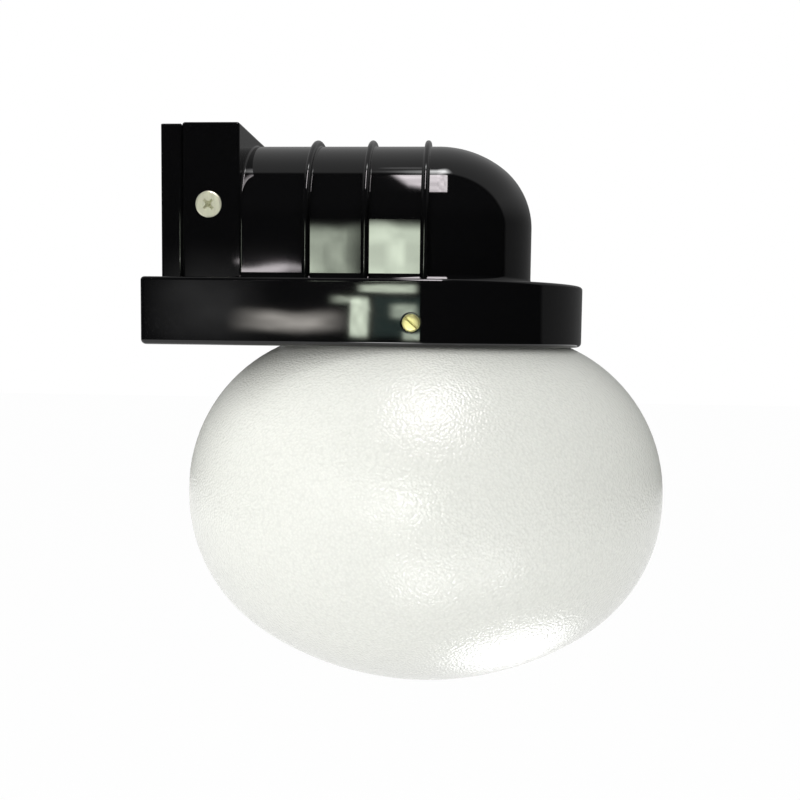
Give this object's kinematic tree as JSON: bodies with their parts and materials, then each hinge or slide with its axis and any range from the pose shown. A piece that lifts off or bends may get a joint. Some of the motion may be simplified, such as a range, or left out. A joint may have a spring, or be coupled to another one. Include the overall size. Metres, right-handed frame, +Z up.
{
  "type": "wall light",
  "caption": "Bracket wall light: black ribbed elbow arm on a wall plate, with an oval frosted glass globe hung below in a U-shaped gallery by side screws.",
  "frame": {"origin": "middle of the wall plate's back face, on the wall plane", "axes": "+X out of the wall along the arm, +Z up, Y across the light"},
  "size_m": [0.1524, 0.15, 0.169],
  "materials": {
    "black_moulding": "polished black moulding",
    "frosted_glass": "pebbled outside, frosted inside",
    "brass": "turned, dull",
    "zinc_steel": "pale yellow zinc plating",
    "pressed_steel": "bright zinc plating",
    "rubber": "matt",
    "white_plastic": "moulded",
    "porcelain": "glazed",
    "opal_lamp": "opal bulb on a nickel cap",
    "brown_lead": "extruded",
    "blue_lead": "extruded"
  },
  "bodies": {
    "fixture": {"housing": "black_moulding", "wall_plate": "black_moulding", "housing_screws": "zinc_steel", "lug_sleeves": "brass", "cable_bush": "rubber", "gallery_sleeves": "brass", "globe": "frosted_glass", "globe_gasket": "rubber", "strap": "pressed_steel", "strap_screws": "zinc_steel", "nipple": "zinc_steel", "nipple_nut": "pressed_steel", "holder_cap": "white_plastic", "holder_insert": "porcelain", "holder_skirt": "white_plastic", "holder_shell": "brass", "centre_contact": "brass", "holder_terminals": "brass", "holder_screws": "zinc_steel", "lamp": "opal_lamp", "terminal_block": "white_plastic", "block_sleeves": "brass", "block_screws": "zinc_steel", "block_fixing_screw": "zinc_steel", "live_lead": "brown_lead", "neutral_lead": "blue_lead"},
    "front_grip": {"front_gallery_screw": "brass"},
    "near_grip": {"near_gallery_screw": "brass"},
    "far_grip": {"far_gallery_screw": "brass"}
  },
  "joints": [
    {"name": "front_screw_travel", "type": "slide", "parent": "fixture", "child": "front_grip", "axis": [1, 0, 0], "range_m": [0, 0.004]},
    {"name": "near_screw_travel", "type": "slide", "parent": "fixture", "child": "near_grip", "axis": [0, -1, 0], "range_m": [0, 0.004]},
    {"name": "far_screw_travel", "type": "slide", "parent": "fixture", "child": "far_grip", "axis": [0, 1, 0], "range_m": [0, 0.004]}
  ]
}
